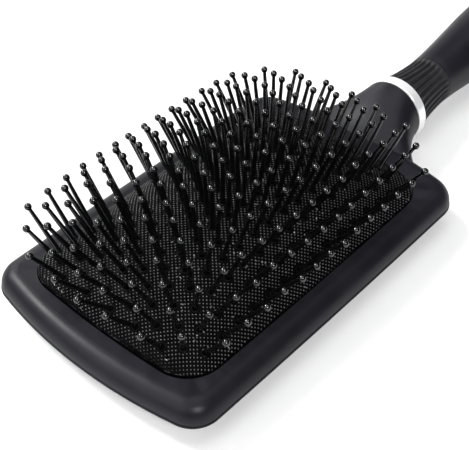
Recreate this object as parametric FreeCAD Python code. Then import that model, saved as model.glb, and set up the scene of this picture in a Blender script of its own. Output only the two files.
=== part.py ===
"""Cushioned paddle brush, in millimetres.

+Y runs along the handle, away from the paddle.  +X is across the paddle.  +Z is the way the pins point.
The origin is on the flat back, under the centre of the cushion opening.
"""

import FreeCAD, Part
import math
import os
from FreeCAD import Placement, Rotation, Vector

# Outlines seen from above: half width, front end, back end, bow of the sides, bow of the ends,
# corner round at the front, corner round at the back
PADDLE = (43.1, -66.9, 70.0, 0.5, 5.5, 9.0, 10.0)
OPENING = (35.3, -57.5, 57.5, 0.6, 1.8, 12.0, 12.0)
BACK_FLAT = (27.0, -51.0, 65.5, 0.4, 4.0, 13.0, 12.0)    # the part of the back that is flat

# Paddle: an upper body and a back shell, which meet on a parting plane
RIM_TOP = 15.0              # height of the flat rim round the cushion
PARTING = 8.6               # height of the parting plane
SHOULDER_ROUND = 5.6        # round on the rim's outer shoulder
BACK_ANGLE = 56.0           # degrees below level at which the back shell leaves the parting plane
BACK_LEVELS = 6             # outlines that shape the back shell
BEAD_HEIGHT = 0.5           # fine bead along the parting line
BEAD_PROUD = 0.2
SHELL_FLOOR = 2.2
SHELL_WALL = 13.0

# Rebate behind the opening, which takes the cushion's flange and the retainer
LIP_UNDERSIDE = 12.6
REBATE_MARGIN = 2.9
FLANGE_THICK = 1.15
RETAINER_WIDTH = 3.8
FIT_GAP = 0.05              # between pieces that are assembled once and don't move
PAD_GAP = 0.3               # shadow gap between the cushion and the rim

# Cushion: a crowned rubber sheet
DOME_RISE = 13.25           # crown of the cushion above the rim
DOME_HALF = 35.5            # half width at which the crown comes down to the rim
DOME_END = 58.4             # half length at which it does
DOME_CROSS_POWER = 2.65
DOME_LONG_POWER = 3.6
PAD_THICK = 2.0
DOME_ROWS = 35              # heights that shape the crowned surface, along the paddle
DOME_COLUMNS = 25           # and across it

# Pins: staggered columns of ball-tipped pins, each with a head under the cushion
MIDDLE_COLUMN = 6           # columns each side of the middle one
COLUMN_PITCH = 5.0
PIN_PITCH = 6.8
EVEN_COLUMN_PINS = 16
ODD_COLUMN_PINS = 15
SIDE_COLUMN_PINS = 14
FIELD_SHIFT = -1.1          # the field of pins sits slightly forward of the opening's centre
PIN_LENGTH = 16.7           # cushion surface to the centre of the ball tip
PIN_BASE_RADIUS = 0.85
PIN_NECK_RADIUS = 0.6
PIN_STRAIGHT = 0.6          # the shaft starts to taper this far above the cushion
BALL_RADIUS = 1.15
HEAD_RADIUS = 1.7
HEAD_THICK = 0.8

# Lean of a pin: slopes across and along, as powers 1, 3 and 5 of the distance from the middle over
# LEAN_SPAN, each eased towards the ends of the other direction by powers 2 and 4, and LEAN_CORNER added
# in the corners
LEAN_SPAN = (30.0, 50.0)
LEAN_ACROSS = (0.52, 0.97, -0.67)
LEAN_ALONG = (0.34, 0.12, 0.29)
EASE_ACROSS = (-0.52, -0.45)
EASE_ALONG = (-0.80, -0.86)
LEAN_CORNER = (0.63, 0.71)

# Handle: round pieces in line on a core, which leaves the neck at a slight upward tilt.
# Distances are along the handle's own axis, from the end of the neck.
NECK_END = 86.5
AXIS_HEIGHT = 12.5
HANDLE_TILT = 2.3           # degrees
NECK_END_RADIUS = 12.0
CORE_RADIUS = 7.5
CORE_LENGTH = 86.7
SEAM = 0.25                 # dark seam each side of the ring
RING_END = 4.15
RING_RADIUS = 12.3
RING_ROUND = 0.4
GRIP_END = 24.6
RIB_COUNT = 28
RIB_WIDTH = 1.3
RIB_DEPTH = 0.6
SLEEVE_END = 91.8
CAP_SEAM = 0.15
CAP_SPIGOT = 4.0
HANDLE_END = 96.6

# Distance along the axis and radius, for the waisted grip and the handle that swells behind it
GRIP_CURVE = ((RING_END + SEAM, 12.0), (7.0, 11.0), (11.0, 10.2), (15.0, 9.7), (20.0, 9.35), (GRIP_END, 9.3))
SLEEVE_CURVE = ((GRIP_END + CAP_SEAM, 9.3), (32.0, 9.7), (40.0, 10.4), (50.0, 11.4), (62.0, 12.5),
                (75.0, 13.0), (86.0, 12.8), (SLEEVE_END, 12.2))
CAP_CURVE = ((SLEEVE_END + CAP_SEAM, 12.1), (93.9, 11.4), (95.6, 9.2), (96.4, 5.2), (HANDLE_END, 0.0))

# Sections of the neck: distance along Y, half width, underside, top
NECK_SECTIONS = (
    (61.5, 27.5, 8.8, 14.2),
    (64.5, 26.3, 5.5, 15.1),
    (68.0, 23.1, 3.0, 16.7),
    (72.0, 19.2, 1.6, 18.9),
    (76.5, 15.9, 0.9, 21.0),
    (81.0, 13.6, 0.6, 22.8),
    (NECK_END, NECK_END_RADIUS, AXIS_HEIGHT - NECK_END_RADIUS, AXIS_HEIGHT + NECK_END_RADIUS),
)


def plate(outline, inset, bottom, top):
    """A plate with four slightly bowed edges and rounded corners, inset from an outline."""
    half, front, back, side_bow, end_bow, front_round, back_round = outline
    half, front, back = half - inset, front + inset, back - inset
    corner_x = half - side_bow
    front_y = front + end_bow
    back_y = back - end_bow
    middle_y = (front + back) / 2
    front_right = Vector(corner_x, front_y, bottom)
    front_left = Vector(-corner_x, front_y, bottom)
    back_right = Vector(corner_x, back_y, bottom)
    back_left = Vector(-corner_x, back_y, bottom)
    sides = (
        Part.Arc(front_left, Vector(0, front, bottom), front_right),
        Part.Arc(front_right, Vector(half, middle_y, bottom), back_right),
        Part.Arc(back_right, Vector(0, back, bottom), back_left),
        Part.Arc(back_left, Vector(-half, middle_y, bottom), front_left),
    )
    face = Part.Face(Part.Wire([side.toShape() for side in sides]))
    solid = face.extrude(Vector(0, 0, top - bottom))
    for radius, end_y in ((front_round, front_y), (back_round, back_y)):
        corners = [e for e in solid.Edges if is_upright(e) and abs(e.CenterOfMass.y - end_y) < 0.5]
        solid = solid.makeFillet(max(radius - inset, 1.0), corners)
    return solid


def is_upright(edge):
    """Whether an edge is a straight line along Z."""
    box = edge.BoundBox
    return box.ZLength > 0.1 and box.XLength + box.YLength < 0.01


def round_rim(solid, height, radius):
    """The solid with every edge that lies flat at one height rounded."""
    edges = [e for e in solid.Edges
             if abs(e.BoundBox.ZMin - height) < 0.001 and abs(e.BoundBox.ZMax - height) < 0.001]
    return solid.makeFillet(radius, edges)


def dome_height(x, y, inset):
    """Height of the crowned cushion surface, or of its underside where inset is its thickness."""
    across = 1 - (abs(x) / (DOME_HALF - inset)) ** DOME_CROSS_POWER
    along = 1 - (abs(y) / (DOME_END - inset)) ** DOME_LONG_POWER
    return RIM_TOP + (DOME_RISE - inset) * across * along


def under_dome(inset, bottom):
    """Everything under the crowned surface, down to a height, out past the opening's edge."""
    half = DOME_HALF - inset
    end = DOME_END - inset
    rows = []
    for i in range(DOME_ROWS):
        y = end * (2 * i / (DOME_ROWS - 1) - 1)
        row = []
        for k in range(DOME_COLUMNS):
            x = half * (2 * k / (DOME_COLUMNS - 1) - 1)
            row.append(Vector(x, y, dome_height(x, y, inset)))
        rows.append(row)
    surface = Part.BSplineSurface()
    surface.interpolate(rows)
    block = surface.toShape().extrude(Vector(0, 0, -2 * DOME_RISE - RIM_TOP))
    keep = Part.makeBox(2 * half, 2 * end, RIM_TOP + DOME_RISE, Vector(-half, -end, bottom))
    return block.common(keep)


def level_wire(outline, height):
    """The rounded outline as a wire at one height."""
    slab = plate(outline, 0, height, height + 1)
    return min(slab.Faces, key=lambda face: face.CenterOfMass.z).OuterWire


def paddle_shell():
    """The outside of the back shell, solid: a bead on the parting plane over sides that curve inwards."""
    wires = []
    edge = math.radians(BACK_ANGLE)
    for k in range(BACK_LEVELS):
        slope = edge * (1 - k / (BACK_LEVELS - 1))
        inward = 1 - math.sin(slope) / math.sin(edge)
        height = PARTING * (1 - math.cos(slope)) / (1 - math.cos(edge))
        outline = [a + inward * (b - a) for a, b in zip(PADDLE, BACK_FLAT)]
        wires.append(level_wire(outline, height))
    bead = plate(PADDLE, -BEAD_PROUD, PARTING - BEAD_HEIGHT, PARTING)
    return Part.makeLoft(wires, True, False).fuse(bead)


def on_handle(shape):
    """A shape made along +Y from the origin, moved on to the tilted handle axis."""
    shape.Placement = Placement(Vector(0, NECK_END, AXIS_HEIGHT), Rotation(Vector(1, 0, 0), HANDLE_TILT))
    return shape


def tube(start, end, radius):
    """A plain round bar along the handle's own axis."""
    return Part.makeCylinder(radius, end - start, Vector(0, start, 0), Vector(0, 1, 0))


def turned(curve):
    """A turned solid along +Y, from pairs of distance and radius joined by one smooth curve."""
    points = [Vector(radius, distance, 0) for distance, radius in curve]
    spline = Part.BSplineCurve()
    spline.interpolate(points)
    first, last = points[0], points[-1]
    start, end = Vector(0, first.y, 0), Vector(0, last.y, 0)
    edges = [Part.makeLine(start, first), spline.toShape()]
    if last.x > 0:
        edges.append(Part.makeLine(last, end))
    edges.append(Part.makeLine(end, start))
    return Part.Face(Part.Wire(edges)).revolve(Vector(0, 0, 0), Vector(0, 1, 0), 360)


def neck():
    """The neck, lofted from a wide flat root inside the paddle to the round end at the ring."""
    wires = []
    length = NECK_END - NECK_SECTIONS[0][0]
    for y, half, bottom, top in NECK_SECTIONS:
        tilt = HANDLE_TILT * (y - NECK_SECTIONS[0][0]) / length
        rise = (top - bottom) / 2
        ring = Part.Ellipse(Vector(0, 0, 0), half, rise) if half > rise else Part.Circle()
        if half <= rise:
            ring.Radius = half
        edge = ring.toShape()
        centre = Vector(0, y, (top + bottom) / 2)
        edge.Placement = Placement(centre, Rotation(Vector(1, 0, 0), 90 + tilt))
        wires.append(Part.Wire([edge]))
    return Part.makeLoft(wires, True, False)


def paddle_body():
    """Upper shell of the paddle, neck and handle core, moulded as one piece."""
    rim = round_rim(plate(PADDLE, 0, PARTING, RIM_TOP), RIM_TOP, SHOULDER_ROUND)
    core = on_handle(tube(-6.0, CORE_LENGTH, CORE_RADIUS))
    body = rim.fuse([neck().cut(paddle_shell()), core])
    body = body.cut(plate(OPENING, 0, LIP_UNDERSIDE - 1, RIM_TOP + 1))
    return body.cut(plate(OPENING, -REBATE_MARGIN, PARTING - 1, LIP_UNDERSIDE))


def back_shell():
    """Shallow shell that closes the paddle's back and the air space under the cushion."""
    pocket = plate(PADDLE, SHELL_WALL, SHELL_FLOOR, PARTING + 1)
    return paddle_shell().cut(pocket)


def pad_retainer():
    """Frame under the cushion's flange, which clamps it against the lip."""
    outer = FIT_GAP * 2 - REBATE_MARGIN
    top = LIP_UNDERSIDE - FLANGE_THICK - 2 * FIT_GAP
    bottom = PARTING + FIT_GAP
    ring = plate(OPENING, outer, bottom, top)
    return ring.cut(plate(OPENING, outer + RETAINER_WIDTH, bottom - 1, top + 1))


def cushion_pad(pins):
    """Crowned rubber cushion with a clamped flange, pierced where the pins pass through it."""
    flange_bottom = LIP_UNDERSIDE - FLANGE_THICK - FIT_GAP
    flange = plate(OPENING, FIT_GAP * 2 - REBATE_MARGIN, flange_bottom, LIP_UNDERSIDE - FIT_GAP)
    crown = plate(OPENING, PAD_GAP, flange_bottom, RIM_TOP + 2 * DOME_RISE).common(under_dome(0, 0))
    hollow = plate(OPENING, PAD_GAP + PAD_THICK, 0, RIM_TOP + DOME_RISE).common(under_dome(PAD_THICK, 0))
    pad = crown.fuse(flange).cut(hollow)
    holes = [place_on_cushion(tube_up(-3 * PAD_THICK, PAD_THICK, PIN_BASE_RADIUS), x, y) for x, y in pins]
    return pad.cut(holes).removeSplitter()


def tube_up(start, end, radius):
    """A plain round bar along Z."""
    return Part.makeCylinder(radius, end - start, Vector(0, 0, start))


def lean(position, other, span, other_span, powers, ease, corner):
    """Slope of a pin in one direction, from its place in that direction and in the other."""
    s = position / span
    t = other / other_span
    slope = powers[0] * s + powers[1] * s ** 3 + powers[2] * s ** 5
    return slope * (1 + ease[0] * t ** 2 + ease[1] * t ** 4) + corner * (s * abs(t)) ** 3


def place_on_cushion(shape, x, y):
    """A shape made along +Z from the origin, moved to a pin's place and lean on the cushion."""
    span_x, span_y = LEAN_SPAN
    direction = Vector(
        lean(x, y, span_x, span_y, LEAN_ACROSS, EASE_ACROSS, LEAN_CORNER[0]),
        lean(y, x, span_y, span_x, LEAN_ALONG, EASE_ALONG, LEAN_CORNER[1]),
        1,
    )
    place = Vector(x, y, dome_height(x, y, 0))
    shape.Placement = Placement(place, Rotation(Vector(0, 0, 1), direction))
    return shape


def pin():
    """One pin along +Z, with the cushion's surface at zero: flat head, tapered shaft, ball tip."""
    ball_start = PIN_LENGTH - math.sqrt(BALL_RADIUS ** 2 - PIN_NECK_RADIUS ** 2)
    corners = [
        Vector(0, 0, -PAD_THICK - HEAD_THICK),
        Vector(HEAD_RADIUS, 0, -PAD_THICK - HEAD_THICK),
        Vector(HEAD_RADIUS, 0, -PAD_THICK),
        Vector(PIN_BASE_RADIUS, 0, -PAD_THICK),
        Vector(PIN_BASE_RADIUS, 0, PIN_STRAIGHT),
        Vector(PIN_NECK_RADIUS, 0, ball_start),
    ]
    tip = Vector(0, 0, PIN_LENGTH + BALL_RADIUS)
    edges = [Part.makeLine(a, b) for a, b in zip(corners[:-1], corners[1:])]
    edges.append(Part.Arc(corners[-1], Vector(BALL_RADIUS, 0, PIN_LENGTH), tip).toShape())
    edges.append(Part.makeLine(tip, corners[0]))
    return Part.Face(Part.Wire(edges)).revolve(Vector(0, 0, 0), Vector(0, 0, 1), 360)


def pin_places(column):
    """Where the pins of one column stand.  Columns alternate, half a pitch out of step."""
    count = ODD_COLUMN_PINS if column % 2 else EVEN_COLUMN_PINS
    if abs(column) == MIDDLE_COLUMN:
        count = SIDE_COLUMN_PINS
    places = []
    for k in range(count):
        y = FIELD_SHIFT + PIN_PITCH * (k - (count - 1) / 2)
        places.append((column * COLUMN_PITCH, y))
    return places


def pin_column(column):
    """The separate pins of one column."""
    return Part.makeCompound([place_on_cushion(pin(), x, y) for x, y in pin_places(column)])


def ring_collar():
    """Bright ring between the neck and the grip."""
    ring = tube(SEAM, RING_END, RING_RADIUS)
    ring = ring.makeFillet(RING_ROUND, [e for e in ring.Edges if isinstance(e.Curve, Part.Circle)])
    return on_handle(ring.cut(tube(0, RING_END + 1, CORE_RADIUS + FIT_GAP)))


def ribbed_grip():
    """Waisted rubber grip with lengthwise ribs."""
    start = GRIP_CURVE[0][0]
    valleys = turned([(distance, radius - RIB_DEPTH) for distance, radius in GRIP_CURVE])
    crests = turned(GRIP_CURVE)
    slab = Part.makeBox(RIB_WIDTH, GRIP_END - start, RING_RADIUS + 1, Vector(-RIB_WIDTH / 2, start, 0))
    slabs = []
    for k in range(RIB_COUNT):
        turned_slab = slab.copy()
        turned_slab.rotate(Vector(0, 0, 0), Vector(0, 1, 0), 360 * k / RIB_COUNT)
        slabs.append(turned_slab)
    ribs = crests.common(Part.makeCompound(slabs))
    grip = valleys.fuse(ribs.Solids)
    return on_handle(grip.cut(tube(start - 1, GRIP_END + 1, CORE_RADIUS + FIT_GAP)))


def handle_sleeve():
    """Smooth handle sleeve, which swells towards the hand's heel."""
    sleeve = turned(SLEEVE_CURVE)
    return on_handle(sleeve.cut(tube(GRIP_END - 1, SLEEVE_END + 1, CORE_RADIUS + FIT_GAP)))


def end_cap():
    """Domed plug that closes the handle sleeve."""
    start = CAP_CURVE[0][0]
    spigot = tube(start - CAP_SPIGOT, start + 1, CORE_RADIUS)
    return on_handle(turned(CAP_CURVE).fuse(spigot).removeSplitter())


def save(name, shape):
    """Writes one named piece, and prints its volume and soundness."""
    shape.exportStep(f"parts/{name}.step")
    print(name, len(shape.Solids), round(shape.Volume, 1), "valid" if shape.isValid() else "NOT VALID")


def main():
    os.makedirs("parts", exist_ok=True)
    columns = range(-MIDDLE_COLUMN, MIDDLE_COLUMN + 1)
    every_place = [place for column in columns for place in pin_places(column)]
    save("paddle_body", paddle_body())
    save("back_shell", back_shell())
    save("pad_retainer", pad_retainer())
    save("cushion_pad", cushion_pad(every_place))
    for number, column in enumerate(columns, start=1):
        save(f"pin_column_{number:02d}", pin_column(column))
    save("ring_collar", ring_collar())
    save("ribbed_grip", ribbed_grip())
    save("handle_sleeve", handle_sleeve())
    save("end_cap", end_cap())


main()
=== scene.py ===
import math
import random
import bmesh
import bpy
import numpy as np
from mathutils import Matrix, Vector
from mathutils.kdtree import KDTree


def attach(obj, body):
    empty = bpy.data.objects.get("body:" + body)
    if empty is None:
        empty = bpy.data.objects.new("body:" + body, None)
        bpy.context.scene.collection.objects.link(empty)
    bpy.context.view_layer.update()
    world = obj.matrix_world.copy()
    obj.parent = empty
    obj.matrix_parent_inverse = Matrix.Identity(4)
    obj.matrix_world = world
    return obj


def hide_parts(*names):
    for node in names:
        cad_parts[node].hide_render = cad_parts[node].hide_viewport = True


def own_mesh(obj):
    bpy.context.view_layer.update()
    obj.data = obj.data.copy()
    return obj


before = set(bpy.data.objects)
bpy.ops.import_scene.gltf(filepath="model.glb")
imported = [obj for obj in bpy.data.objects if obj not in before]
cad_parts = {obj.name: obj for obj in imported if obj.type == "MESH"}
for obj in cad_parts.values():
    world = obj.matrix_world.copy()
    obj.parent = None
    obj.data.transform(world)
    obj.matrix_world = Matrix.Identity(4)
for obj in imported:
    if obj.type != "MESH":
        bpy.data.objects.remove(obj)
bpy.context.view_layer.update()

# Shapes are worked out in millimetres, and every mesh is made in metres.
MM = 0.001
PADDLE_BODY = "handle_and_paddle"
PIN_BODY = "pins_and_cushion"
PIN_COLUMNS = sorted(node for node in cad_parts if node.startswith("pin_column"))

# Cushion: the crowned surface, its clamped edge and its wall
RIM_TOP = 15.0
DOME_RISE = 13.25
DOME_HALF = 35.5
DOME_END = 58.4
DOME_CROSS_POWER = 2.65
DOME_LONG_POWER = 3.6
PAD_THICK = 2.0
PAD_EDGE_ROUND = 0.6
EDGE_BAND = 14              # the rounded edge is looked for only this near the outline's box
UNDERSIDE_STEP = 4.0
FLANGE_TOP = 12.5
FLANGE_BOTTOM = 11.45
FLANGE_WIDTH = 3.0

# Embossed pattern: staggered dots, evenly spaced along the curved surface
DOT_PITCH = 1.5
DOT_HEIGHT = 0.32
DOT_FOOT = 0.1              # share of the wave below which the ground lies flat
GRID_STEP = 0.17
END_ROWS = 24               # rows that draw each bowed end
END_DEPTH = 2.2
ARC_SAMPLES = 16

# Smooth disc and collar round each pin
DISC_RADIUS = 1.7
COLLAR_RADIUS = 1.05
COLLAR_HEIGHT = 0.16
COLLAR_WIDTH = 0.25

# Pins: places along the axis, from the underside of the head, and sizes
PIN_SURFACE = 2.8           # where the pin leaves the cushion
PIN_BALL = 19.5             # centre of the ball tip
BALL_RADIUS = 1.14
PIN_SIDES = 20
PIN_JITTER = 0.016          # how far pins stray from their rows, as a slope
PIN_SWELL = 0.03            # how far their thickness varies, as a share

# Ribbed grip: distance along the handle's axis from the middle of the ring, and radius of the ribs
GRIP_CURVE = ((2.2, 12.0), (4.8, 11.0), (8.8, 10.2), (12.8, 9.7), (17.8, 9.35), (22.4, 9.3))
GRIP_BORE = 7.55
RIB_COUNT = 28
RIB_DEPTH = 0.62
GROOVE_FADE = 3.0           # the grooves run out over this length before the sleeve
RIB_SIDES = 12              # points across each rib
GRIP_ROWS = 48

# Camera: direction, distance and lens
CAMERA_AZIMUTH = 41.12
CAMERA_ELEVATION = 42.59
CAMERA_ROLL = 0.49
CAMERA_DISTANCE = 0.327
CAMERA_TARGET = (-0.0003, 0.0012, 0.015)
LENS = 79.68

FLOOR_HALF = 12             # metres
FLOOR_GLOW = 0.34
WORLD_GLOW = 0.06
CONTRAST = 0.87             # display gamma: below 1, dark tones are deeper

# Studio lights: name, azimuth, elevation, strength, angle across
LIGHTS = (
    ("key", -78, 46, 2.5, 16),
    ("window", -112, 26, 0.65, 34),
    ("front", -20, 45, 1.35, 60),
    ("side", 62, 45, 1.7, 16),
    ("top", 180, 80, 0.8, 40),
)


# ---------------------------------------------------------------- meshes

def add_piece(name, points, faces, material, body, nodes):
    """A smooth mesh from points in millimetres, which rides on a body and stands for CAD nodes."""
    mesh = bpy.data.meshes.new(name)
    mesh.from_pydata((np.asarray(points) * MM).tolist(), [], faces)
    mesh.validate()
    piece = bpy.data.objects.new(name, mesh)
    bpy.context.scene.collection.objects.link(piece)
    mesh.polygons.foreach_set("use_smooth", [True] * len(mesh.polygons))
    mesh.materials.append(material)
    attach(piece, body)
    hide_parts(*nodes)
    return piece


def grid_faces(rows, columns, start=0, closed=False):
    """Four-sided faces of a grid of points, row by row.  A closed grid joins its last column to its first."""
    faces = []
    last = columns if closed else columns - 1
    for row in range(rows - 1):
        for column in range(last):
            a = start + row * columns + column
            b = start + row * columns + (column + 1) % columns
            faces.append((a, b, b + columns, a + columns))
    return faces


def lathe(profile, sides):
    """Points and faces of a closed turned form along Z.  The profile starts and ends on the axis."""
    points = [(0.0, 0.0, profile[0][1])]
    for radius, height in profile[1:-1]:
        for side in range(sides):
            angle = 2 * math.pi * side / sides
            points.append((radius * math.cos(angle), radius * math.sin(angle), height))
    points.append((0.0, 0.0, profile[-1][1]))
    rows = len(profile) - 2
    faces = grid_faces(rows, sides, 1, True)
    top = len(points) - 1
    first = 1 + (rows - 1) * sides
    for side in range(sides):
        following = (side + 1) % sides
        faces.append((0, 1 + following, 1 + side))
        faces.append((top, first + side, first + following))
    return np.array(points), faces


def turn_to(direction):
    """Rotation that takes +Z to a direction."""
    return np.array(Vector(direction).to_track_quat("Z", "Y").to_matrix())


def smooth_step(low, high, value):
    """0 below low, 1 above high, and a smooth rise between them."""
    t = np.clip((value - low) / (high - low), 0, 1)
    return t * t * (3 - 2 * t)


# ---------------------------------------------------------------- measures taken from the CAD frame

def node_points(node):
    """A CAD node's points in millimetres."""
    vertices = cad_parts[node].data.vertices
    return np.array([vertex.co for vertex in vertices]) / MM


def separate_solids(node):
    """Points of each separate solid of a CAD node, in millimetres."""
    mesh = bmesh.new()
    mesh.from_mesh(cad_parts[node].data)
    bmesh.ops.remove_doubles(mesh, verts=mesh.verts, dist=1e-6)
    mesh.verts.index_update()
    seen = [False] * len(mesh.verts)
    solids = []
    for first in mesh.verts:
        if seen[first.index]:
            continue
        seen[first.index] = True
        members = [first]
        for vertex in members:
            for edge in vertex.link_edges:
                other = edge.other_vert(vertex)
                if not seen[other.index]:
                    seen[other.index] = True
                    members.append(other)
        solids.append(np.array([vertex.co for vertex in members]) / MM)
    mesh.free()
    return solids


def pin_axis(points):
    """The middle of a pin's head, on its underside, and the direction in which the pin points."""
    middle = points.mean(0)
    long_way = np.linalg.svd(points - middle, full_matrices=False)[2][0]
    along = (points - middle) @ long_way
    if abs(along.max()) < abs(along.min()):
        long_way, along = -long_way, -along
    if long_way[2] < 0:
        long_way, along = -long_way, -along
    head = points[along < along.min() + 0.02].mean(0)
    tip = points[along.argmax()]
    direction = tip - head
    return head, direction / np.linalg.norm(direction)


def handle_axis():
    """Middle of the ring, and the direction of the handle."""
    ring = node_points("ring_collar")
    middle = (ring.max(0) + ring.min(0)) / 2
    cap = node_points("end_cap")
    direction = (cap.max(0) + cap.min(0)) / 2 - middle
    direction[0] = 0
    return middle, direction / np.linalg.norm(direction)


def outline_cut(node, height):
    """The segments in which a level plane cuts a CAD node, as an array of pairs of points (x, y)."""
    points = node_points(node)
    segments = []
    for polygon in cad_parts[node].data.polygons:
        corners = points[list(polygon.vertices)]
        crossings = []
        for a, b in zip(corners, np.roll(corners, -1, 0)):
            if (a[2] - height) * (b[2] - height) < 0:
                crossings.append((a + (b - a) * (height - a[2]) / (b[2] - a[2]))[:2])
        if len(crossings) == 2:
            segments.append(sorted(crossings, key=lambda point: point[1]))
    return np.array(segments)


def half_widths(segments, rows):
    """Half width of a cut's outer outline at each place along Y."""
    widths = np.full(len(rows), 0.2)
    for (x0, y0), (x1, y1) in segments:
        inside = (rows >= y0) & (rows <= y1)
        if y1 - y0 > 1e-6 and inside.any():
            x = x0 + (x1 - x0) * (rows[inside] - y0) / (y1 - y0)
            widths[inside] = np.maximum(widths[inside], np.abs(x))
    return widths


PINS = {node: [pin_axis(solid) for solid in separate_solids(node)] for node in PIN_COLUMNS}


# ---------------------------------------------------------------- cushion

def dome_height(x, y, inset=0.0):
    """Height of the crowned surface, or of its underside where inset is its thickness."""
    across = 1 - (np.abs(x) / (DOME_HALF - inset)) ** DOME_CROSS_POWER
    along = 1 - (np.abs(y) / (DOME_END - inset)) ** DOME_LONG_POWER
    return RIM_TOP + (DOME_RISE - inset) * across * along


def dome_slopes(x, y):
    """Slopes of the crowned surface across and along."""
    s, t = np.abs(x) / DOME_HALF, np.abs(y) / DOME_END
    p, q = DOME_CROSS_POWER, DOME_LONG_POWER
    across = -DOME_RISE * p / DOME_HALF * s ** (p - 1) * np.sign(x) * (1 - t ** q)
    along = -DOME_RISE * q / DOME_END * t ** (q - 1) * np.sign(y) * (1 - s ** p)
    return across, along


def surface_distances(x, y):
    """Distances over the crowned surface from its two middle lines."""
    across = np.zeros_like(x)
    along = np.zeros_like(x)
    for k in range(ARC_SAMPLES):
        share = (k + 0.5) / ARC_SAMPLES
        across += np.sqrt(1 + dome_slopes(x * share, y)[0] ** 2) * x / ARC_SAMPLES
        along += np.sqrt(1 + dome_slopes(x, y * share)[1] ** 2) * y / ARC_SAMPLES
    return across, along


def cushion_grid(step, inset):
    """Places across and along of a grid that fills the cushion's outline, less an inset."""
    segments = outline_cut("cushion_pad", RIM_TOP - 1)
    front = segments[:, :, 1].min() + inset
    back = segments[:, :, 1].max() - inset
    depths = END_DEPTH * np.linspace(0.03, 1, END_ROWS, endpoint=False) ** 2
    count = round((back - front - 2 * END_DEPTH) / step)
    middle = np.linspace(front + END_DEPTH, back - END_DEPTH, count)
    rows = np.concatenate([front + depths, middle, (back - depths)[::-1]])
    stretch = (segments[:, :, 1].max() - segments[:, :, 1].min()) / (back - front)
    centre = (front + back) / 2
    widths = half_widths(segments, centre + (rows - centre) * stretch) - inset
    shares = np.linspace(-1, 1, round(2 * widths.max() / step))
    x = np.maximum(widths, 0.2)[:, None] * shares[None, :]
    y = np.repeat(rows[:, None], len(shares), 1)
    return x, y


def emboss(x, y, z):
    """Height of the moulded relief: staggered dots, with a smooth disc and slight collar round each pin."""
    across, along = surface_distances(x, y)
    wave = np.cos(2 * math.pi * across / DOT_PITCH) * np.cos(2 * math.pi * along / DOT_PITCH)
    relief = DOT_HEIGHT * np.sqrt(np.clip((wave - DOT_FOOT) / (1 - DOT_FOOT), 0, 1))
    places = np.stack([x, y, z], -1)
    reach = DISC_RADIUS + 0.4
    for head, direction in sum(PINS.values(), []):
        foot = head + direction * PIN_SURFACE
        near = (np.abs(x - foot[0]) < reach) & (np.abs(y - foot[1]) < reach)
        distance = np.linalg.norm(places[near] - foot, axis=1)
        collar = np.exp(-((distance - COLLAR_RADIUS) / COLLAR_WIDTH) ** 2)
        relief[near] *= smooth_step(DISC_RADIUS - 0.1, DISC_RADIUS + 0.15, distance)
        relief[near] += COLLAR_HEIGHT * collar
    return relief


def border_indices(rows, columns):
    """Indices of a grid's border points, in order round it."""
    first = list(range(columns))
    right = [row * columns + columns - 1 for row in range(1, rows - 1)]
    last = [(rows - 1) * columns + column for column in reversed(range(columns))]
    left = [row * columns for row in reversed(range(1, rows - 1))]
    return first + right + last + left


def outward(loop):
    """Level unit vectors that point out of a closed loop of points, which runs anticlockwise."""
    along = np.roll(loop, -3, 0) - np.roll(loop, 3, 0)
    normals = np.stack([along[:, 1], -along[:, 0]], 1)
    return normals / np.maximum(np.linalg.norm(normals, axis=1), 1e-9)[:, None]


def round_edge(points, border):
    """Lowers the points near the border, so that the cushion's edge is rounded."""
    tree = KDTree(len(border))
    for index, place in enumerate(points[border]):
        tree.insert((place[0], place[1], 0), index)
    tree.balance()
    low, high = points[border].min(0), points[border].max(0)
    for point in points:
        if min(point[0] - low[0], high[0] - point[0], point[1] - low[1], high[1] - point[1]) > EDGE_BAND:
            continue
        distance = tree.find((point[0], point[1], 0))[2]
        if distance < PAD_EDGE_ROUND:
            point[2] -= PAD_EDGE_ROUND - math.sqrt(PAD_EDGE_ROUND ** 2 - (PAD_EDGE_ROUND - distance) ** 2)


def cushion_top():
    """Points and faces of the crowned, embossed sheet with its wall and clamped flange, and its last loop."""
    x, y = cushion_grid(GRID_STEP, 0)
    z = dome_height(x, y)
    slope_x, slope_y = dome_slopes(x, y)
    normals = np.stack([-slope_x, -slope_y, np.ones_like(x)], -1)
    normals /= np.linalg.norm(normals, axis=2, keepdims=True)
    points = np.stack([x, y, z], -1) + normals * emboss(x, y, z)[:, :, None]
    rows, columns = x.shape
    points = points.reshape(-1, 3)
    border = border_indices(rows, columns)
    points[border, :2] = np.stack([x, y], -1).reshape(-1, 2)[border]
    round_edge(points, border)
    faces = grid_faces(rows, columns)
    loop = points[border]
    sideways = outward(loop)
    count = len(border)
    start = len(points)
    steps = ((0, FLANGE_TOP), (FLANGE_WIDTH, FLANGE_TOP), (FLANGE_WIDTH, FLANGE_BOTTOM), (0, FLANGE_BOTTOM))
    rings = []
    for width, height in steps:
        ring = loop.copy()
        ring[:, :2] += sideways * width
        ring[:, 2] = height
        rings.append(ring)
    for k in range(count):
        following = (k + 1) % count
        faces.append((border[following], border[k], start + k, start + following))
    faces += [tuple(reversed(face)) for face in grid_faces(len(steps), count, start, True)]
    points = np.concatenate([points] + rings)
    last = start + (len(steps) - 1) * count
    return points, faces, list(range(last, last + count))


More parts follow.
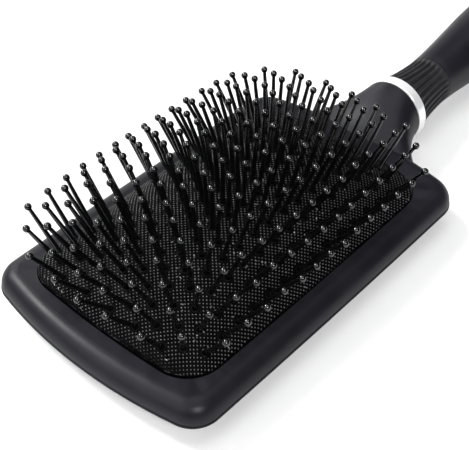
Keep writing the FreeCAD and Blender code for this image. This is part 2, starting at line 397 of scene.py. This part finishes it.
def cushion_underside(start):
    """Points and faces of the plain underside of the sheet, down to the flange, and its last loop."""
    x, y = cushion_grid(UNDERSIDE_STEP, PAD_THICK)
    rows, columns = x.shape
    points = np.stack([x, y, dome_height(x, y, PAD_THICK)], -1).reshape(-1, 3)
    border = border_indices(rows, columns)
    faces = [tuple(reversed(face)) for face in grid_faces(rows, columns, start)]
    skirt = points[border].copy()
    skirt[:, 2] = FLANGE_BOTTOM
    count = len(border)
    first = start + len(points)
    for k in range(count):
        following = (k + 1) % count
        faces.append((start + border[k], start + border[following], first + following, first + k))
    return np.concatenate([points, skirt]), faces, list(range(first, first + count))


def add_cushion(material):
    """The rubber cushion: an embossed crowned sheet, clamped round its edge and hollow underneath."""
    points, faces, outer = cushion_top()
    under_points, under_faces, inner = cushion_underside(len(points))
    piece = add_piece("embossed_cushion", np.concatenate([points, under_points]), faces + under_faces,
                      material, PADDLE_BODY, ["cushion_pad"])
    mesh = bmesh.new()
    mesh.from_mesh(piece.data)
    mesh.verts.ensure_lookup_table()
    loops = []
    for loop in (outer, inner):
        for a, b in zip(loop, loop[1:] + loop[:1]):
            loops.append(mesh.edges.get((mesh.verts[a], mesh.verts[b])))
    bmesh.ops.bridge_loops(mesh, edges=loops)
    bmesh.ops.recalc_face_normals(mesh, faces=mesh.faces)
    mesh.to_mesh(piece.data)
    mesh.free()
    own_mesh(piece)


# ---------------------------------------------------------------- pins

def pin_profile():
    """Radius and height of a pin: flat head, shaft with a flared root, taper and ball tip."""
    profile = [(0, 0), (1.55, 0), (1.7, 0.12), (1.7, 0.68), (1.55, 0.8), (0.9, 0.8)]
    profile += [(0.9, PIN_SURFACE - 0.1), (0.97, PIN_SURFACE + 0.1), (0.84, PIN_SURFACE + 0.5)]
    profile += [(0.8, PIN_SURFACE + 2.0), (0.73, PIN_SURFACE + 6.5), (0.66, PIN_SURFACE + 11.0)]
    neck = 0.6
    low = PIN_BALL - math.sqrt(BALL_RADIUS ** 2 - neck ** 2)
    profile += [(neck, low - 1.2), (neck - 0.02, low - 0.25)]
    first = math.acos((low - PIN_BALL) / BALL_RADIUS)
    for k in range(11):
        angle = first * (1 - k / 11)
        profile.append((BALL_RADIUS * math.sin(angle), PIN_BALL + BALL_RADIUS * math.cos(angle)))
    profile.append((0, PIN_BALL + BALL_RADIUS))
    return profile


def add_pin_column(node, material, shuffle):
    """The pins of one column, each where its CAD solid stands, with small moulding differences."""
    shape, shape_faces = lathe(pin_profile(), PIN_SIDES)
    points, faces = [], []
    for head, direction in PINS[node]:
        stray = np.array([shuffle.gauss(0, PIN_JITTER), shuffle.gauss(0, PIN_JITTER), 0])
        leaning = direction + stray
        leaning /= np.linalg.norm(leaning)
        root = head + direction * PIN_SURFACE
        swell = 1 + shuffle.uniform(-PIN_SWELL, PIN_SWELL)
        scaled = (shape - [0, 0, PIN_SURFACE]) * [swell, swell, 1]
        start = len(points) * len(shape)
        points.append(scaled @ turn_to(leaning).T + root)
        faces += [tuple(start + corner for corner in face) for face in shape_faces]
    add_piece(node.replace("pin_column", "pins"), np.concatenate(points), faces, material, PIN_BODY,
              [node])


# ---------------------------------------------------------------- grip

def add_ribbed_grip(material):
    """The waisted rubber grip, with rounded lengthwise ribs."""
    middle, direction = handle_axis()
    upward = np.cross([1.0, 0.0, 0.0], direction)
    distances, crests = zip(*GRIP_CURVE)
    crest = np.poly1d(np.polyfit(distances, crests, 4))
    columns = RIB_COUNT * RIB_SIDES
    angles = 2 * math.pi * np.arange(columns) / columns
    groove = smooth_step(0.1, 0.85, 0.5 - 0.5 * np.cos(angles * RIB_COUNT))
    around = np.outer(np.sin(angles), [1.0, 0.0, 0.0]) + np.outer(np.cos(angles), upward)
    rings = []
    for distance in np.linspace(distances[0], distances[-1], GRIP_ROWS):
        depth = RIB_DEPTH * smooth_step(0, GROOVE_FADE, distances[-1] - distance)
        radii = crest(distance) - depth * groove
        rings.append(middle + direction * distance + around * radii[:, None])
    for distance in (distances[-1], distances[0]):
        rings.append(middle + direction * distance + around * GRIP_BORE)
    rings.append(rings[0])
    points = np.concatenate(rings[:-1])
    faces = grid_faces(len(rings) - 1, columns, 0, True)
    last = (len(rings) - 2) * columns
    for k in range(columns):
        following = (k + 1) % columns
        faces.append((last + k, last + following, following, k))
    piece = add_piece("rounded_rib_grip", points, faces, material, PADDLE_BODY,
                      ["ribbed_grip"])
    mesh = bmesh.new()
    mesh.from_mesh(piece.data)
    bmesh.ops.recalc_face_normals(mesh, faces=mesh.faces)
    mesh.to_mesh(piece.data)
    mesh.free()


# ---------------------------------------------------------------- materials

class Graph:
    """A material's node graph, with short calls for the nodes used here."""

    def __init__(self, name):
        self.material = bpy.data.materials.new(name)
        self.material.use_nodes = True
        self.nodes = self.material.node_tree.nodes
        self.links = self.material.node_tree.links
        self.shader = self.nodes["Principled BSDF"]
        self.place = self.nodes.new("ShaderNodeTexCoord").outputs["Object"]

    def noise(self, scale, detail=2.0, stretch=(1, 1, 1)):
        """Noise of so many cells per metre."""
        mapping = self.nodes.new("ShaderNodeMapping")
        mapping.inputs["Scale"].default_value = stretch
        self.links.new(self.place, mapping.inputs["Vector"])
        node = self.nodes.new("ShaderNodeTexNoise")
        node.inputs["Scale"].default_value = scale
        node.inputs["Detail"].default_value = detail
        self.links.new(mapping.outputs["Vector"], node.inputs["Vector"])
        return node.outputs["Fac"]

    def spread(self, value, low, high, narrow=0.3):
        """The middle of a value's range, spread from low to high."""
        node = self.nodes.new("ShaderNodeMapRange")
        node.inputs["From Min"].default_value = 0.5 - narrow / 2
        node.inputs["From Max"].default_value = 0.5 + narrow / 2
        node.inputs["To Min"].default_value = low
        node.inputs["To Max"].default_value = high
        self.links.new(value, node.inputs["Value"])
        return node.outputs["Result"]

    def mix(self, share, first, second):
        """A mix of two colours."""
        node = self.nodes.new("ShaderNodeMix")
        node.data_type = "RGBA"
        self.links.new(share, node.inputs["Factor"])
        for socket, colour in ((node.inputs[6], first), (node.inputs[7], second)):
            if isinstance(colour, tuple):
                socket.default_value = (*colour, 1)
            else:
                self.links.new(colour, socket)
        return node.outputs[2]

    def edge_wear_and_painted_sheen(self, low=0.53, high=0.62):
        """1 on convex edges, 0 elsewhere."""
        geometry = self.nodes.new("ShaderNodeNewGeometry")
        node = self.nodes.new("ShaderNodeMapRange")
        node.inputs["From Min"].default_value = low
        node.inputs["From Max"].default_value = high
        self.links.new(geometry.outputs["Pointiness"], node.inputs["Value"])
        return node.outputs["Result"]

    def bump(self, layers):
        """Bumps from pairs of height and depth in millimetres, laid over each other."""
        normal = None
        for height, depth in layers:
            node = self.nodes.new("ShaderNodeBump")
            node.inputs["Distance"].default_value = depth * MM
            self.links.new(height, node.inputs["Height"])
            if normal:
                self.links.new(normal, node.inputs["Normal"])
            normal = node.outputs["Normal"]
        self.links.new(normal, self.shader.inputs["Normal"])

    def feed(self, **values):
        """Sets the shader's inputs, from values or from other nodes."""
        for name, value in values.items():
            socket = self.shader.inputs[name.replace("_", " ")]
            if isinstance(value, bpy.types.NodeSocket):
                self.links.new(value, socket)
            elif isinstance(value, tuple):
                socket.default_value = (*value, 1)
            else:
                socket.default_value = value


def soft_touch():
    """Black plastic with a soft-touch coating: fine grain, faint cloudiness, edges painted paler as rubbed
    wear and as a painted sheen.
    """
    graph = Graph("soft_touch_black")
    cloud = graph.noise(60, 4)
    grain = graph.noise(4200, 2)
    colour = graph.mix(graph.spread(cloud, 0, 1), (0.011, 0.011, 0.016), (0.016, 0.016, 0.022))
    # Convex edges painted paler: partly rubbed wear, partly a painted sheen.
    colour = graph.mix(graph.edge_wear_and_painted_sheen(), colour, (0.026, 0.026, 0.033))
    graph.feed(Base_Color=colour, Roughness=graph.spread(cloud, 0.38, 0.46), Specular_IOR_Level=0.32)
    graph.bump([(grain, 0.012), (graph.noise(900, 3), 0.02)])
    return graph.material


def inner_plastic():
    """Plain moulded plastic, out of sight."""
    graph = Graph("inner_black_plastic")
    cloud = graph.noise(90, 3)
    colour = graph.mix(graph.spread(cloud, 0, 1), (0.014, 0.014, 0.015), (0.02, 0.02, 0.021))
    graph.feed(Base_Color=colour, Roughness=graph.spread(cloud, 0.4, 0.6))
    graph.bump([(graph.noise(2500, 2), 0.015)])
    return graph.material


def cushion_rubber():
    """Black moulded rubber, shinier on top of the dots, where a pale grey is painted on as a highlight."""
    graph = Graph("cushion_black_rubber")
    cloud = graph.noise(45, 4)
    painted_highlight_tops = graph.edge_wear_and_painted_sheen(0.525, 0.58)
    colour = graph.mix(graph.spread(cloud, 0, 1), (0.0015, 0.0015, 0.002), (0.003, 0.003, 0.0035))
    # Dot tops painted pale grey (0.18): a painted highlight that stands for the dots' glints, not the
    # rubber's own colour.
    colour = graph.mix(painted_highlight_tops, colour, (0.180, 0.180, 0.185))
    graph.feed(Base_Color=colour, Roughness=graph.spread(painted_highlight_tops, 0.30, 0.20, 1.0),
               Specular_IOR_Level=graph.spread(painted_highlight_tops, 0.05, 1.0, 1.0))
    graph.bump([(graph.noise(5200, 2), 0.008)])
    return graph.material


def pin_nylon():
    """Black nylon: glossy, with faint flow marks along the shafts."""
    graph = Graph("pin_black_nylon")
    cloud = graph.noise(300, 2)
    colour = graph.mix(graph.spread(cloud, 0, 1), (0.0015, 0.0015, 0.002), (0.003, 0.003, 0.0035))
    graph.feed(Base_Color=colour, Roughness=graph.spread(cloud, 0.09, 0.13), Specular_IOR_Level=1.0)
    graph.bump([(graph.noise(1400, 2, (1, 1, 0.25)), 0.02)])
    return graph.material


def grip_rubber():
    """Matt black rubber of the ribbed grip, a little paler on its convex edges."""
    graph = Graph("grip_black_rubber")
    cloud = graph.noise(120, 4)
    colour = graph.mix(graph.spread(cloud, 0, 1), (0.016, 0.016, 0.018), (0.025, 0.025, 0.028))
    # Convex edges of the ribs painted a little paler.
    colour = graph.mix(graph.edge_wear_and_painted_sheen(), colour, (0.03, 0.03, 0.034))
    graph.feed(Base_Color=colour, Roughness=graph.spread(cloud, 0.48, 0.62))
    graph.bump([(graph.noise(3600, 3), 0.02)])
    return graph.material


def bright_ring():
    """Bright metallised ring with fine turning marks."""
    graph = Graph("bright_ring")
    marks = graph.noise(700, 2, (1, 12, 1))
    cloud = graph.noise(150, 3)
    colour = graph.mix(graph.spread(cloud, 0, 1), (0.90, 0.90, 0.905), (0.94, 0.94, 0.945))
    graph.feed(Base_Color=colour, Metallic=0.3, Roughness=graph.spread(cloud, 0.20, 0.26))
    graph.bump([(marks, 0.001)])
    return graph.material


def studio_floor():
    """Pale table, lit faintly from below, with a barely visible tooth."""
    graph = Graph("white_floor")
    tooth = graph.noise(25, 3)
    colour = graph.mix(graph.spread(tooth, 0, 1), (0.65, 0.65, 0.65), (0.67, 0.67, 0.67))
    graph.feed(Base_Color=colour, Roughness=0.8, Specular_IOR_Level=0.2,
               Emission_Color=(1.0, 1.0, 1.0), Emission_Strength=FLOOR_GLOW)
    return graph.material


def paint(node, material):
    """Gives a carried-over CAD node its material."""
    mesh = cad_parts[node].data
    mesh.materials.clear()
    mesh.materials.append(material)


# ---------------------------------------------------------------- studio

def direction_from(azimuth, elevation):
    """Direction towards a place seen at an azimuth and elevation in degrees, as the camera's are given."""
    azimuth, elevation = math.radians(azimuth), math.radians(elevation)
    return Vector((math.sin(azimuth) * math.cos(elevation),
                   -math.cos(azimuth) * math.cos(elevation), math.sin(elevation)))


def add_camera():
    """The camera, at the viewing angle of the reference."""
    data = bpy.data.cameras.new("camera")
    data.lens = LENS
    data.clip_start = 0.01
    data.clip_end = 50
    camera = bpy.data.objects.new("camera", data)
    bpy.context.scene.collection.objects.link(camera)
    back = direction_from(CAMERA_AZIMUTH, CAMERA_ELEVATION)
    roll = Matrix.Rotation(math.radians(CAMERA_ROLL), 3, "Z").to_quaternion()
    camera.rotation_mode = "QUATERNION"
    camera.rotation_quaternion = back.to_track_quat("Z", "Y") @ roll
    camera.location = Vector(CAMERA_TARGET) + back * CAMERA_DISTANCE
    bpy.context.scene.camera = camera


def add_sun(name, azimuth, elevation, strength, angle):
    """A distant soft light from an azimuth and elevation, as wide as its angle."""
    data = bpy.data.lights.new(name, "SUN")
    data.energy = strength
    data.angle = math.radians(angle)
    light = bpy.data.objects.new(name, data)
    light.rotation_mode = "QUATERNION"
    light.rotation_quaternion = direction_from(azimuth, elevation).to_track_quat("Z", "Y")
    bpy.context.scene.collection.objects.link(light)


def add_world(strength):
    """Even white surroundings."""
    world = bpy.data.worlds.new("studio")
    world.use_nodes = True
    background = world.node_tree.nodes["Background"]
    background.inputs["Color"].default_value = (0.97, 0.98, 1.0, 1)
    background.inputs["Strength"].default_value = strength
    bpy.context.scene.world = world


def add_floor(material):
    """A wide plain floor under the brush."""
    mesh = bpy.data.meshes.new("floor")
    corners = [(x * FLOOR_HALF, y * FLOOR_HALF, 0) for x, y in ((-1, -1), (1, -1), (1, 1), (-1, 1))]
    mesh.from_pydata(corners, [], [(0, 1, 2, 3)])
    mesh.materials.append(material)
    floor = bpy.data.objects.new("floor", mesh)
    bpy.context.scene.collection.objects.link(floor)


def main():
    scene = bpy.context.scene
    scene.view_settings.view_transform = "Standard"
    scene.view_settings.gamma = CONTRAST
    add_camera()
    add_world(WORLD_GLOW)
    add_floor(studio_floor())
    for name, azimuth, elevation, strength, angle in LIGHTS:
        add_sun(name, azimuth, elevation, strength, angle)

    soft = soft_touch()
    for node in ("paddle_body", "back_shell", "handle_sleeve", "end_cap"):
        paint(node, soft)
    paint("pad_retainer", inner_plastic())
    paint("ring_collar", bright_ring())
    add_cushion(cushion_rubber())
    add_ribbed_grip(grip_rubber())
    nylon = pin_nylon()
    shuffle = random.Random(7)
    for node in PIN_COLUMNS:
        add_pin_column(node, nylon, shuffle)


main()
